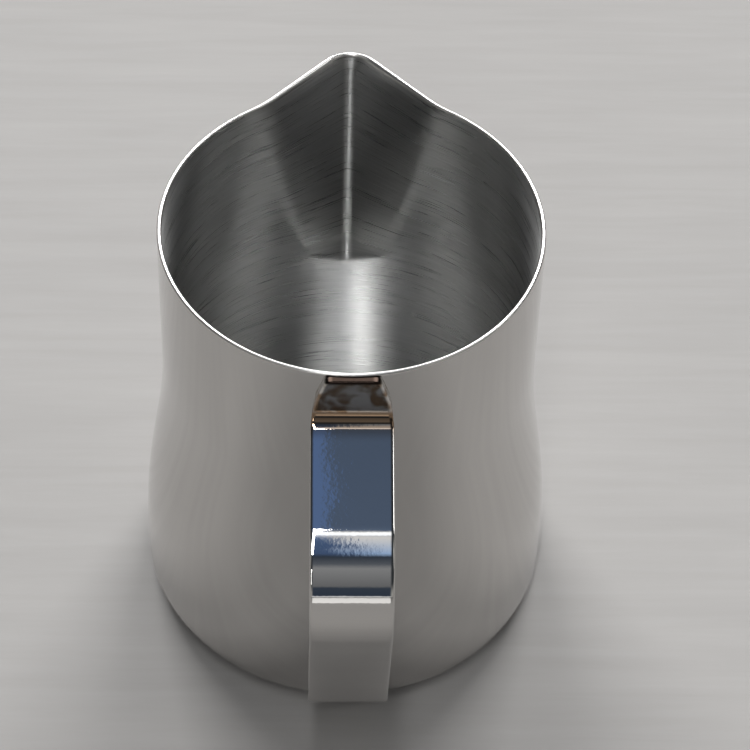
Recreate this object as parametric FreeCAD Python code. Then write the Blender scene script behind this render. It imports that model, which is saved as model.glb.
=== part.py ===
"""Milk frothing pitcher for a steam wand.

A one-piece stainless steel body with a pressed pouring spout, and a bent strap
handle that is spot-welded to the back of it.

Frame: +Z up. The origin is on the body's axis, in the plane the base rests on.
The spout points to +Y and the handle to -Y. Everything is in millimetres.
"""
import FreeCAD, Part
import math
import os

# ---- body --------------------------------------------------------------------
HEIGHT = 110.0              # resting plane to rim
MOUTH_DIAMETER = 80.0       # outside of the straight upper wall
BELLY_DIAMETER = 90.0       # outside at the widest
SHEET = 1.0                 # wall and base thickness
BASE_CORNER_RADIUS = 8.0    # outside, between wall and base
NECK_LENGTH = 38.0          # straight wall below the rim
BELLY_HEIGHT = 14.0         # height up to which the belly keeps its full width
FLARE_TOP_PULL = 0.38       # how far the flare leaves the neck upright, as a share of its height
FLARE_FOOT_PULL = 0.41      # and how far it comes into the belly upright

# ---- spout -------------------------------------------------------------------
SPOUT_REACH = 11.4          # lip beyond the round wall, at the rim
SPOUT_DROP = 56.0           # from the rim down to where the groove runs out
CREASE_RADIUS = 3.5         # outside radius of the V's crease
LIP_RADIUS = 7.7            # outside radius at the very lip
LIP_CURL = 5.0              # depth over which the crease opens out into the lip
FLANK_DIP = 0.15            # how far the flanks press into the wall, per mm of reach
FLANK_BLEND = 17.0          # hollow radius where a flank runs into the round wall
GROOVE_TOE = 6.5            # height over which the groove's floor rounds out
GROOVE_TOE_REACH = 2.6      # reach of the groove just above its rounded toe
GROOVE_END_REACH = 0.08     # the lowest section of the groove is all but round

# ---- strap handle ------------------------------------------------------------
STRAP_WIDTH = 16.8
STRAP_THICKNESS = 1.5
TAB_TIP_WIDTH = 11.0        # free end of each welded tab
TAB_SHOULDER_WIDTH = 15.0   # tab where its steep taper ends
TAB_TAPER = 6.2             # length of that steep taper
TAB_BLEND = 5.7             # length over which the tab grows to the full width
RIM_TO_TAB = 0.4            # gap between the rim and the upper tab
UPPER_TAB = 10.95           # upper tab, tip to the bend's corner
LOWER_TAB = 12.0            # lower tab, tip to the bend's corner
LOWER_CORNER_HEIGHT = 23.0  # resting plane to the lower tab's bend corner
TOP_SLOPE = 20.0            # degrees, the upper run falls away from the wall
LEG_SLOPE = 16.0            # degrees, the leg leans in towards the base
LOWER_SLOPE = 10.0          # degrees, the lower run falls towards the wall
HANDLE_REACH = 39.4         # outer corner beyond the upper wall
TAB_BEND = 3.6              # hollow-side radius of the two bends at the wall
UPPER_BEND = 19.0           # outside radius of the bend at the top of the grip
LOWER_BEND = 11.0           # outside radius of the bend at the foot of the grip

# ---- spot welds --------------------------------------------------------------
WELD_DIAMETER = 4.0
WELD_SPACING = 6.4          # between the two nuggets of a tab
WELD_FROM_TIP = 4.4         # nugget centres from the tab's free end

# ---- worked out from the above -----------------------------------------------
MOUTH_RADIUS = MOUTH_DIAMETER / 2
BELLY_RADIUS = BELLY_DIAMETER / 2
FLARE_TOP = HEIGHT - NECK_LENGTH
SPOUT_FOOT = HEIGHT - SPOUT_DROP


def vec(x, y, z):
    return FreeCAD.Vector(x, y, z)


def flare_curve():
    """Wall between the neck and the belly: an S with upright ends, seen in the XZ plane."""
    span = FLARE_TOP - BELLY_HEIGHT
    poles = [
        vec(MOUTH_RADIUS, 0, FLARE_TOP),
        vec(MOUTH_RADIUS, 0, FLARE_TOP - FLARE_TOP_PULL * span),
        vec(BELLY_RADIUS, 0, BELLY_HEIGHT + FLARE_FOOT_PULL * span),
        vec(BELLY_RADIUS, 0, BELLY_HEIGHT),
    ]
    curve = Part.BezierCurve()
    curve.setPoles(poles)
    return curve


def wall_radius(z):
    """Outside radius of the round wall at a height above the base corner."""
    if z >= FLARE_TOP:
        return MOUTH_RADIUS
    if z <= BELLY_HEIGHT:
        return BELLY_RADIUS
    curve = flare_curve()
    low, high = 0.0, 1.0
    for _ in range(40):
        mid = (low + high) / 2
        if curve.value(mid).z > z:
            low = mid
        else:
            high = mid
    return curve.value(low).x


def groove_reach(z):
    """How far the crease stands beyond the round wall.

    The crease is straight. Below it a cubic toe starts level with the wall and ends with the
    crease's own slope.
    """
    slope = (SPOUT_REACH - GROOVE_TOE_REACH) / (SPOUT_DROP - GROOVE_TOE)
    above_toe = z - SPOUT_FOOT - GROOVE_TOE
    if above_toe >= 0:
        return GROOVE_TOE_REACH + slope * above_toe
    share = 1 + above_toe / GROOVE_TOE
    rise = GROOVE_TOE_REACH * share ** 2 * (3 - 2 * share)
    easing = slope * GROOVE_TOE * share ** 2 * (1 - share)
    return max(GROOVE_END_REACH, rise - easing)


def crease_radius(z):
    """Outside radius of the crease, opening out over the curl of the lip."""
    share = max(0.0, 1 - (HEIGHT - z) / LIP_CURL)
    return CREASE_RADIUS + (LIP_RADIUS - CREASE_RADIUS) * share ** 2


def spout_section(z, inset):
    """Closed level outline at height z, moved inwards by inset.

    The round wall, two straight flanks and the crease are joined by arcs: a hollow
    one where a flank meets the wall, and the crease itself where the flanks meet.
    """
    reach = groove_reach(z)
    wall = wall_radius(z) - inset
    crease = crease_radius(z) - inset
    blend = FLANK_BLEND + inset
    crease_y = wall_radius(z) + reach - crease_radius(z)
    flank_from_axis = wall_radius(z) - FLANK_DIP * reach - inset
    turn = math.acos((flank_from_axis - crease) / crease_y)
    across = vec(math.sin(turn), math.cos(turn), 0)
    along = vec(math.cos(turn), -math.sin(turn), 0)

    lift = vec(0, 0, z)
    crease_end = vec(0, crease_y, 0) + across * crease
    blend_out = flank_from_axis + blend
    blend_along = math.sqrt((wall + blend) ** 2 - blend_out ** 2)
    blend_centre = across * blend_out - along * blend_along
    flank_end = blend_centre - across * blend
    wall_end = blend_centre * (wall / (wall + blend))
    blend_mid_dir = (flank_end + wall_end) * 0.5 - blend_centre
    blend_mid = blend_centre + blend_mid_dir * (blend / blend_mid_dir.Length)

    def left(point):
        return vec(-point.x, point.y, point.z)

    edges = [
        Part.Arc(left(crease_end) + lift, vec(0, crease_y + crease, z), crease_end + lift).toShape(),
        Part.LineSegment(crease_end + lift, flank_end + lift).toShape(),
        Part.Arc(flank_end + lift, blend_mid + lift, wall_end + lift).toShape(),
        Part.Arc(wall_end + lift, vec(0, -wall, z), left(wall_end) + lift).toShape(),
        Part.Arc(left(wall_end) + lift, left(blend_mid) + lift, left(flank_end) + lift).toShape(),
        Part.LineSegment(left(flank_end) + lift, left(crease_end) + lift).toShape(),
    ]
    return Part.Wire(edges)


def evenly(first, last, count):
    """That many evenly spaced values from the first to the last."""
    return [first + (last - first) * i / (count - 1) for i in range(count)]


def round_lower_body(inset):
    """Solid of revolution below the groove, its surface moved inwards by inset."""
    corner = BASE_CORNER_RADIUS - inset
    centre_r = BELLY_RADIUS - BASE_CORNER_RADIUS
    diagonal = corner * math.sqrt(0.5)
    floor = vec(centre_r, 0, inset)
    side = vec(BELLY_RADIUS - inset, 0, BASE_CORNER_RADIUS)
    corner_mid = vec(centre_r + diagonal, 0, BASE_CORNER_RADIUS - diagonal)
    heights = evenly(BELLY_HEIGHT, SPOUT_FOOT, 15)
    wall_points = [vec(wall_radius(z) - inset, 0, z) for z in heights]
    wall = Part.BSplineCurve()
    wall.interpolate(Points=wall_points)
    top = wall_points[-1]
    edges = [
        Part.LineSegment(vec(0, 0, inset), floor).toShape(),
        Part.Arc(floor, corner_mid, side).toShape(),
        Part.LineSegment(side, wall_points[0]).toShape(),
        wall.toShape(),
        Part.LineSegment(top, vec(0, 0, top.z)).toShape(),
        Part.LineSegment(vec(0, 0, top.z), vec(0, 0, inset)).toShape(),
    ]
    return Part.Face(Part.Wire(edges)).revolve(vec(0, 0, 0), vec(0, 0, 1), 360)


def body_form(inset):
    """The whole filled body, its surface moved inwards by inset."""
    toe_top = SPOUT_FOOT + GROOVE_TOE
    curl_foot = HEIGHT - LIP_CURL
    toe = evenly(SPOUT_FOOT, toe_top, 6)
    straight = evenly(toe_top, curl_foot, 6)
    curl = evenly(curl_foot, HEIGHT, 5)
    sections = [spout_section(z, inset) for z in toe[:-1] + straight[:-1] + curl]
    upper = Part.makeLoft(sections, True, False)
    return round_lower_body(inset).fuse(upper)


# ---- strap -------------------------------------------------------------------
def scoop(radius, half_width):
    """How far a round wall falls back behind a flat tab at the tab's edges."""
    return radius - math.sqrt(radius ** 2 - half_width ** 2)


def strap_corners():
    """Corners of the strap's outside face, from the upper tab's tip to the lower one's.

    Each is (distance from the axis, height). The faces' bends are put in afterwards.
    """
    upper_face = MOUTH_RADIUS + STRAP_THICKNESS
    lower_face = BELLY_RADIUS + STRAP_THICKNESS
    upper_tip = HEIGHT - RIM_TO_TAB
    upper_corner = upper_tip - UPPER_TAB
    outer_r = MOUTH_RADIUS + HANDLE_REACH
    outer_z = upper_corner - (outer_r - upper_face) * math.tan(math.radians(TOP_SLOPE))
    lean = math.tan(math.radians(LEG_SLOPE))
    fall = math.tan(math.radians(LOWER_SLOPE))
    # The leg r = outer_r - lean * (outer_z - z) meets the lower run z = corner + fall * (r - face).
    foot_r = outer_r - lean * (outer_z - LOWER_CORNER_HEIGHT + fall * lower_face)
    foot_r = foot_r / (1 - lean * fall)
    foot_z = LOWER_CORNER_HEIGHT + fall * (foot_r - lower_face)
    return [
        (upper_face, upper_tip),
        (upper_face, upper_corner),
        (outer_r, outer_z),
        (foot_r, foot_z),
        (lower_face, LOWER_CORNER_HEIGHT),
        (lower_face, LOWER_CORNER_HEIGHT - LOWER_TAB),
    ]


def moved_inwards(corners, distance):
    """The same run of corners on the strap's inner face."""
    moved = []
    for i, (r, z) in enumerate(corners):
        normals = []
        for j in (i - 1, i):
            if 0 <= j < len(corners) - 1:
                step_r = corners[j + 1][0] - corners[j][0]
                step_z = corners[j + 1][1] - corners[j][1]
                length = math.hypot(step_r, step_z)
                normals.append((step_z / length, -step_r / length))
        mean_r = sum(n[0] for n in normals) / len(normals)
        mean_z = sum(n[1] for n in normals) / len(normals)
        stretch = distance / (mean_r ** 2 + mean_z ** 2)
        moved.append((r + mean_r * stretch, z + mean_z * stretch))
    return moved


def rounded_run(corners, radii):
    """Edges along the corners, in the YZ plane, with an arc of the given radius at each bend."""
    points = [vec(0, -r, z) for r, z in corners]
    edges = []
    start = points[0]
    for i, radius in enumerate(radii, start=1):
        back = (points[i - 1] - points[i]).normalize()
        ahead = (points[i + 1] - points[i]).normalize()
        half = back.getAngle(ahead) / 2
        reach = radius / math.tan(half)
        bend_in = points[i] + back * reach
        bend_out = points[i] + ahead * reach
        middle = (back + ahead).normalize()
        bend_mid = points[i] + middle * (radius / math.sin(half) - radius)
        edges.append(Part.LineSegment(start, bend_in).toShape())
        edges.append(Part.Arc(bend_in, bend_mid, bend_out).toShape())
        start = bend_out
    edges.append(Part.LineSegment(start, points[-1]).toShape())
    return edges


def strap_front_outline():
    """Face-on outline of the strap: full width, with a tapered tab at each end."""
    corners = strap_corners()
    right = []
    for tip_z, down in ((corners[0][1], 1), (corners[-1][1], -1)):
        tab = [
            (TAB_TIP_WIDTH / 2, tip_z),
            (TAB_SHOULDER_WIDTH / 2, tip_z - down * TAB_TAPER),
            (STRAP_WIDTH / 2, tip_z - down * (TAB_TAPER + TAB_BLEND)),
        ]
        right += tab if down > 0 else tab[::-1]
    left = [(-x, z) for x, z in reversed(right)]
    beyond = MOUTH_RADIUS + HANDLE_REACH + BELLY_RADIUS
    points = [vec(x, -beyond, z) for x, z in right + left]
    face = Part.Face(Part.makePolygon(points + points[:1]))
    return face.extrude(vec(0, beyond, 0))


def strap_solid(body_filled):
    """The bent strap, its tabs hollowed on the inside to the wall they are welded to."""
    sunk = scoop(MOUTH_RADIUS, STRAP_WIDTH / 2)
    outer = strap_corners()
    inner = moved_inwards(outer, STRAP_THICKNESS)
    upper_tip, upper_corner, outer_bend, foot_bend, lower_corner, lower_tip = inner
    # Each tab's inner face starts inside the wall, so that the wall can hollow it.
    upper_drop = sunk * math.tan(math.radians(TOP_SLOPE))
    lower_drop = sunk * math.tan(math.radians(LOWER_SLOPE))
    inner = [
        (upper_tip[0] - sunk, upper_tip[1]),
        (upper_corner[0] - sunk, upper_corner[1] + upper_drop),
        outer_bend,
        foot_bend,
        (lower_corner[0] - sunk, lower_corner[1] - lower_drop),
        (lower_tip[0] - sunk, lower_tip[1]),
    ]
    outer_radii = [TAB_BEND, UPPER_BEND, LOWER_BEND, TAB_BEND]
    inner_radii = [
        TAB_BEND + STRAP_THICKNESS,
        UPPER_BEND - STRAP_THICKNESS,
        LOWER_BEND - STRAP_THICKNESS,
        TAB_BEND + STRAP_THICKNESS,
    ]
    outside = rounded_run(outer, outer_radii)
    inside = rounded_run(inner, inner_radii)
    ends = [
        Part.LineSegment(vec(0, -outer[i][0], outer[i][1]), vec(0, -inner[i][0], inner[i][1])).toShape()
        for i in (0, -1)
    ]
    wire = Part.Wire(Part.__sortEdges__(outside + inside + ends))
    side = Part.Face(wire).extrude(vec(STRAP_WIDTH, 0, 0))
    side.translate(vec(-STRAP_WIDTH / 2, 0, 0))
    return side.common(strap_front_outline()).cut(body_filled)


def weld_nuggets(wall_r, z):
    """A tab's pair of weld nuggets: discs half in the wall and half in the strap."""
    length = (SHEET + STRAP_THICKNESS) / 2
    discs = []
    for side in (-1, 1):
        x = side * WELD_SPACING / 2
        fall_back = scoop(wall_r, abs(x))
        start = vec(x, -(wall_r - fall_back) + SHEET / 2, z)
        discs.append(Part.makeCylinder(WELD_DIAMETER / 2, length, start, vec(0, -1, 0)))
    return discs


def one_solid(shape):
    """The single solid of a cut or fused shape."""
    solids = shape.Solids
    if len(solids) != 1:
        raise ValueError("expected one solid, got %d" % len(solids))
    return solids[0]


def main():
    outside = body_form(0.0)
    inside = body_form(SHEET)
    body = outside.cut(inside)
    strap = strap_solid(outside)

    corners = strap_corners()
    upper_z = corners[0][1] - WELD_FROM_TIP
    lower_z = corners[-1][1] + WELD_FROM_TIP
    upper_welds = weld_nuggets(MOUTH_RADIUS, upper_z)
    lower_welds = weld_nuggets(wall_radius(lower_z), lower_z)
    for disc in upper_welds + lower_welds:
        body = body.cut(disc)
        strap = strap.cut(disc)

    parts = {
        "pitcher_body": one_solid(body),
        "handle_strap": one_solid(strap),
        "upper_spot_welds": Part.makeCompound(upper_welds),
        "lower_spot_welds": Part.makeCompound(lower_welds),
    }
    os.makedirs("parts", exist_ok=True)
    for name, shape in parts.items():
        shape.exportStep("parts/" + name + ".step")
        box = shape.BoundBox
        print("%-18s volume %9.1f mm3  valid %s  x %.1f..%.1f  y %.1f..%.1f  z %.1f..%.1f" % (
            name, shape.Volume, shape.isValid(),
            box.XMin, box.XMax, box.YMin, box.YMax, box.ZMin, box.ZMax))


main()
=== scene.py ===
"""Milk frothing pitcher: polished stainless steel, brushed inside, with a bent strap handle.

+Z is up, the spout points to +Y and the handle to -Y. Blender's units are metres here.
"""
import math

import bpy
import numpy as np
from mathutils import Matrix, Vector


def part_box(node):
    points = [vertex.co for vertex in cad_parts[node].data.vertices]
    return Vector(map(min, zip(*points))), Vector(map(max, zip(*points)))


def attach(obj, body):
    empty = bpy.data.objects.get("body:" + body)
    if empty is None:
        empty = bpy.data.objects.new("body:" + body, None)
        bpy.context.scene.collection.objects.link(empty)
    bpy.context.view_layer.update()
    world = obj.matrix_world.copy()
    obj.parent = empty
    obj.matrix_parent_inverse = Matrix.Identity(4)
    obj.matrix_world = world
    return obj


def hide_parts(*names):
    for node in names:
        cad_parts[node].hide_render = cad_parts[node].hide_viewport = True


bl_info = {
    "name": "Milk frothing pitcher",
    "version": (1, 0, 0),
    "blender": (4, 5, 0),
    "location": "View3D > Sidebar > Pitcher",
    "description": "Builds a polished steel milk pitcher with a pressed spout and a strap handle",
    "category": "Add Mesh",
}

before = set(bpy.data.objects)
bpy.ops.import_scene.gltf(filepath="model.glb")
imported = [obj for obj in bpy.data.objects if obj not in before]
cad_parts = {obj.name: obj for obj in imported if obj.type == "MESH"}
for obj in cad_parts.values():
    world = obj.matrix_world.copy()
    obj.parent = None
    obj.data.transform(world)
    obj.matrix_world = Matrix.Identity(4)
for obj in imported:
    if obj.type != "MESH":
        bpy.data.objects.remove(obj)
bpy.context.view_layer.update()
BODY_LOW, BODY_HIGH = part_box("pitcher_body")
STRAP_LOW, STRAP_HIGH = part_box("handle_strap")


# ---- sizes and colours ---------------------------------------------------------------
class BodySizes(bpy.types.PropertyGroup):
    """Sizes of the drawn and pressed body."""

    height: bpy.props.FloatProperty(
        name="Height", description="Resting plane to rim",
        default=BODY_HIGH.z, unit="LENGTH")
    belly_radius: bpy.props.FloatProperty(
        name="Belly radius", description="Outside radius at the widest",
        default=BODY_HIGH.x, unit="LENGTH")
    mouth_radius: bpy.props.FloatProperty(
        name="Mouth radius", description="Outside radius of the straight upper wall",
        default=0.040, unit="LENGTH")
    lip_y: bpy.props.FloatProperty(
        name="Lip", description="From the body's axis to the tip of the lip",
        default=BODY_HIGH.y, unit="LENGTH")
    sheet: bpy.props.FloatProperty(
        name="Sheet", description="Thickness of wall and base", default=0.001, unit="LENGTH")
    corner_radius: bpy.props.FloatProperty(
        name="Base corner", description="Outside radius between wall and base",
        default=0.008, unit="LENGTH")
    neck_length: bpy.props.FloatProperty(
        name="Neck", description="Straight wall below the rim", default=0.038, unit="LENGTH")
    belly_height: bpy.props.FloatProperty(
        name="Belly height", description="Height up to which the belly keeps its full width",
        default=0.014, unit="LENGTH")
    flare_top_pull: bpy.props.FloatProperty(
        name="Flare, top", description="How long the flare stays upright at its top, per height",
        default=0.38)
    flare_foot_pull: bpy.props.FloatProperty(
        name="Flare, foot", description="How long the flare stays upright at its foot, per height",
        default=0.41)
    spout_drop: bpy.props.FloatProperty(
        name="Spout drop", description="From the rim down to where the groove runs out",
        default=0.056, unit="LENGTH")
    toe: bpy.props.FloatProperty(
        name="Toe", description="Height over which the groove's floor rounds out",
        default=0.0065, unit="LENGTH")
    toe_reach: bpy.props.FloatProperty(
        name="Toe reach", description="Reach of the groove just above its toe",
        default=0.0026, unit="LENGTH")
    crease_radius: bpy.props.FloatProperty(
        name="Crease", description="Outside radius of the spout's crease",
        default=0.0035, unit="LENGTH")
    lip_radius: bpy.props.FloatProperty(
        name="Lip radius", description="Outside radius at the very lip",
        default=0.0077, unit="LENGTH")
    lip_curl: bpy.props.FloatProperty(
        name="Lip curl", description="Depth over which the crease opens out into the lip",
        default=0.005, unit="LENGTH")
    flank_dip: bpy.props.FloatProperty(
        name="Flank dip", description="How far the flanks press into the wall, per length of reach",
        default=0.15)
    flank_blend: bpy.props.FloatProperty(
        name="Flank blend", description="Hollow radius where a flank runs into the round wall",
        default=0.017, unit="LENGTH")
    easing: bpy.props.FloatProperty(
        name="Easing", description="Widest angle over which the pressed outline is averaged",
        default=math.radians(4.5), subtype="ANGLE")
    easing_start: bpy.props.FloatProperty(
        name="Easing start", description="Angle from the spout up to which nothing is averaged",
        default=0.17, subtype="ANGLE")
    easing_run: bpy.props.FloatProperty(
        name="Easing run", description="Angle over which the averaging grows to its widest",
        default=0.35, subtype="ANGLE")


class StrapSizes(bpy.types.PropertyGroup):
    """Sizes of the bent strap handle."""

    width: bpy.props.FloatProperty(
        name="Width", description="Width of the strip",
        default=STRAP_HIGH.x - STRAP_LOW.x, unit="LENGTH")
    thickness: bpy.props.FloatProperty(
        name="Thickness", description="Thickness of the strip", default=0.0015, unit="LENGTH")
    edge_radius: bpy.props.FloatProperty(
        name="Edge", description="Rounding of the strip's long edges",
        default=0.00038, unit="LENGTH")
    roll_off: bpy.props.FloatProperty(
        name="Roll-off", description="How far the outside face falls at its long edges",
        default=0.000007, unit="LENGTH")
    dimple: bpy.props.FloatProperty(
        name="Dimple", description="Depth of the mark that a spot weld leaves",
        default=0.00003, unit="LENGTH")
    tab_tip_width: bpy.props.FloatProperty(
        name="Tab tip", description="Width at the free end of each welded tab",
        default=0.011, unit="LENGTH")
    tab_shoulder_width: bpy.props.FloatProperty(
        name="Tab shoulder", description="Width where the tab's steep taper ends",
        default=0.015, unit="LENGTH")
    tab_taper: bpy.props.FloatProperty(
        name="Tab taper", description="Length of the steep taper", default=0.0062, unit="LENGTH")
    tab_blend: bpy.props.FloatProperty(
        name="Tab blend", description="Length over which the tab grows to the full width",
        default=0.0057, unit="LENGTH")
    tab_corner: bpy.props.FloatProperty(
        name="Tab corner", description="Rounding of the tab's two corners",
        default=0.0011, unit="LENGTH")
    upper_tab: bpy.props.FloatProperty(
        name="Upper tab", description="Tip to the bend's corner", default=0.01095, unit="LENGTH")
    lower_tab: bpy.props.FloatProperty(
        name="Lower tab", description="Tip to the bend's corner", default=0.012, unit="LENGTH")
    reach: bpy.props.FloatProperty(
        name="Reach", description="Outer corner beyond the upper wall",
        default=0.0394, unit="LENGTH")
    top_slope: bpy.props.FloatProperty(
        name="Top slope", description="Fall of the upper run away from the wall",
        default=math.radians(20), subtype="ANGLE")
    leg_slope: bpy.props.FloatProperty(
        name="Leg slope", description="Lean of the leg in towards the base",
        default=math.radians(16), subtype="ANGLE")
    lower_slope: bpy.props.FloatProperty(
        name="Lower slope", description="Fall of the lower run towards the wall",
        default=math.radians(10), subtype="ANGLE")
    tab_bend: bpy.props.FloatProperty(
        name="Tab bend", description="Hollow-side radius of the bends at the wall",
        default=0.0036, unit="LENGTH")
    upper_bend: bpy.props.FloatProperty(
        name="Upper bend", description="Outside radius at the top of the grip",
        default=0.019, unit="LENGTH")
    lower_bend: bpy.props.FloatProperty(
        name="Lower bend", description="Outside radius at the foot of the grip",
        default=0.011, unit="LENGTH")
    weld_diameter: bpy.props.FloatProperty(
        name="Weld", description="Diameter of a spot weld's dimple", default=0.0042, unit="LENGTH")
    weld_spacing: bpy.props.FloatProperty(
        name="Weld spacing", description="Between the two spot welds of a tab",
        default=0.0064, unit="LENGTH")
    weld_from_tip: bpy.props.FloatProperty(
        name="Weld from tip", description="Weld centres from the tab's free end",
        default=0.0044, unit="LENGTH")


class Finishes(bpy.types.PropertyGroup):
    """Colours, as sRGB hex values, of the finishes and the studio."""

    steel: bpy.props.StringProperty(
        name="Polished steel", description="Mirror-polished stainless steel", default="#cac8c5")
    brushed: bpy.props.StringProperty(
        name="Brushed steel", description="Brushed stainless steel inside", default="#c4c4c3")
    # Painted highlight: the crease's colour is brighter than the brushed steel's and stands in for
    # the reflection down the crease.
    pressed: bpy.props.StringProperty(
        name="Crease", description="Line that the forming tool has pressed bright",
        default="#f2f2f0")
    # Brown of the tabs: partly weld tint, partly painted reflection; through the bend below the
    # upper tab it is painted reflection only.
    weld_tint_and_reflection: bpy.props.StringProperty(
        name="Heat tint", description="Brown bloom round the welded tabs", default="#8a745f")
    # Painted shade: a near-black colour for the upper tab's end, which hides the lamps' highlight
    # there.
    painted_tip_shade: bpy.props.StringProperty(
        name="Scorch", description="Burnt end of the upper tab", default="#231c18")
    weld: bpy.props.StringProperty(
        name="Weld", description="Steel of the weld nuggets", default="#8f8d89")
    floor: bpy.props.StringProperty(
        name="Floor", description="Plain pale floor", default="#8a8886")


class StudioSizes(bpy.types.PropertyGroup):
    """Where the camera stands, seen from the centre of the rim."""

    distance: bpy.props.FloatProperty(
        name="Distance", description="Camera to the centre of the rim",
        default=0.6163, unit="LENGTH")
    elevation: bpy.props.FloatProperty(
        name="Elevation", description="Of the camera, seen from the rim",
        default=math.radians(47.24), subtype="ANGLE")
    azimuth: bpy.props.FloatProperty(
        name="Azimuth", description="Of the camera, from straight behind the handle",
        default=math.radians(1.45), subtype="ANGLE")
    pitch: bpy.props.FloatProperty(
        name="Pitch", description="How far the camera looks down",
        default=math.radians(50.07), subtype="ANGLE")
    heading: bpy.props.FloatProperty(
        name="Heading", description="How far the camera looks to the right of the spout's plane",
        default=math.radians(2.25), subtype="ANGLE")
    roll: bpy.props.FloatProperty(
        name="Roll", description="Tilt of the camera about its line of sight",
        default=math.radians(2.02), subtype="ANGLE")
    lens: bpy.props.FloatProperty(
        name="Lens", description="Focal length for a 36 mm sensor", default=144.0)


# ---- small helpers -------------------------------------------------------------------
# A colour mix node has sockets of the same names for its other types, so its own go by number.
MIX_SHARE, MIX_FIRST, MIX_SECOND, MIXED = 0, 6, 7, 2
SOFT = {"interpolation_type": "SMOOTHSTEP"}


def linear(hex_colour):
    """An sRGB hex colour as linear red, green, blue and alpha."""
    values = [int(hex_colour[i:i + 2], 16) / 255 for i in (1, 3, 5)]
    return [v / 12.92 if v <= 0.04045 else ((v + 0.055) / 1.055) ** 2.4 for v in values] + [1.0]


def add_node(tree, kind, settings=None, inputs=None):
    """A node of the given kind with its settings; inputs are values or the sockets to link from."""
    node = tree.nodes.new(kind)
    for name, value in (settings or {}).items():
        setattr(node, name, value)
    for name, value in (inputs or {}).items():
        if isinstance(value, bpy.types.NodeSocket):
            tree.links.new(value, node.inputs[name])
        else:
            node.inputs[name].default_value = value
    return node


def new_material(name):
    """A material with one shader joined to its output: (material, node tree, shader)."""
    material = bpy.data.materials.new(name)
    material.use_nodes = True
    tree = material.node_tree
    tree.nodes.clear()
    shader = tree.nodes.new("ShaderNodeBsdfPrincipled")
    output = tree.nodes.new("ShaderNodeOutputMaterial")
    tree.links.new(shader.outputs["BSDF"], output.inputs["Surface"])
    return material, tree, shader


def smooth_step(x):
    """0 below 0, 1 above 1, and a soft S between."""
    x = np.clip(x, 0.0, 1.0)
    return x * x * (3 - 2 * x)


def mesh_object(name, points, faces, uv, face_slots, materials):
    """A smooth-shaded object at the origin, from arrays.

    They hold its points, quads, UVs of the quads' corners, and the quads' material slots. A quad
    whose last two corners are the same vertex is written as a triangle.
    """
    mesh = bpy.data.meshes.new(name)
    three = faces[:, 2] == faces[:, 3]
    counts = np.where(three, 3, 4)
    keep = np.ones(faces.shape, bool)
    keep[:, 3] = ~three
    mesh.vertices.add(len(points))
    mesh.vertices.foreach_set("co", points.astype(np.float32).ravel())
    mesh.loops.add(int(counts.sum()))
    mesh.loops.foreach_set("vertex_index", faces[keep].astype(np.int32))
    mesh.polygons.add(len(faces))
    starts = np.concatenate(([0], np.cumsum(counts)[:-1]))
    mesh.polygons.foreach_set("loop_start", starts.astype(np.int32))
    mesh.polygons.foreach_set("material_index", face_slots.astype(np.int32))
    layer = mesh.uv_layers.new(name="sheet")
    layer.data.foreach_set("uv", uv[keep].astype(np.float32).ravel())
    mesh.update(calc_edges=True)
    mesh.shade_smooth()
    for material in materials:
        mesh.materials.append(material)
    obj = bpy.data.objects.new(name, mesh)
    bpy.context.scene.collection.objects.link(obj)
    return obj


# ---- shape of the body ---------------------------------------------------------------
# How finely the body is divided: columns round it, and rows over the flat of the base, round its
# corner, up the four runs of the wall, and over the rim.
BODY_COLUMNS = 336
BASE_ROWS = 13
CORNER_ROWS = 14
WALL_POINTS = (24, 20, 19, 14)
RIM_ROWS = 9
FLARE_POINTS = 400
EASING_SAMPLES = 9


def wall_radius(size, z):
    """Outside radius of the round wall at height z.

    Straight neck, straight belly, and between them a cubic curve with four poles whose ends
    are upright; it is read back as radius against height from points along it.
    """
    top = size.height - size.neck_length
    span = top - size.belly_height
    t = np.linspace(0, 1, FLARE_POINTS)
    radii = (size.mouth_radius, size.mouth_radius, size.belly_radius, size.belly_radius)
    heights = (top, top - size.flare_top_pull * span,
               size.belly_height + size.flare_foot_pull * span, size.belly_height)
    weights = ((1 - t) ** 3, 3 * (1 - t) ** 2 * t, 3 * (1 - t) * t ** 2, t ** 3)
    r = sum(w * v for w, v in zip(weights, radii))
    h = sum(w * v for w, v in zip(weights, heights))
    return np.interp(z, h[::-1], r[::-1])


def groove_reach(size, z):
    """How far the crease stands beyond the round wall.

    A straight line down from the lip, and below it a cubic toe that starts level with the wall
    and ends with the line's own slope.
    """
    foot = size.height - size.spout_drop
    full = size.lip_y - size.mouth_radius
    slope = (full - size.toe_reach) / (size.spout_drop - size.toe)
    share = np.clip((z - foot) / size.toe, 0, 1)
    toe = size.toe_reach * share ** 2 * (3 - 2 * share)
    toe = toe + slope * size.toe * share ** 2 * (share - 1)
    return np.where(share < 1, toe, size.toe_reach + slope * (z - foot - size.toe))


def crease_radius(size, z):
    """Outside radius of the crease, which opens out over the curl of the lip."""
    share = np.clip(1 - (size.height - z) / size.lip_curl, 0, 1)
    return size.crease_radius + (size.lip_radius - size.crease_radius) * share ** 2


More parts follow.
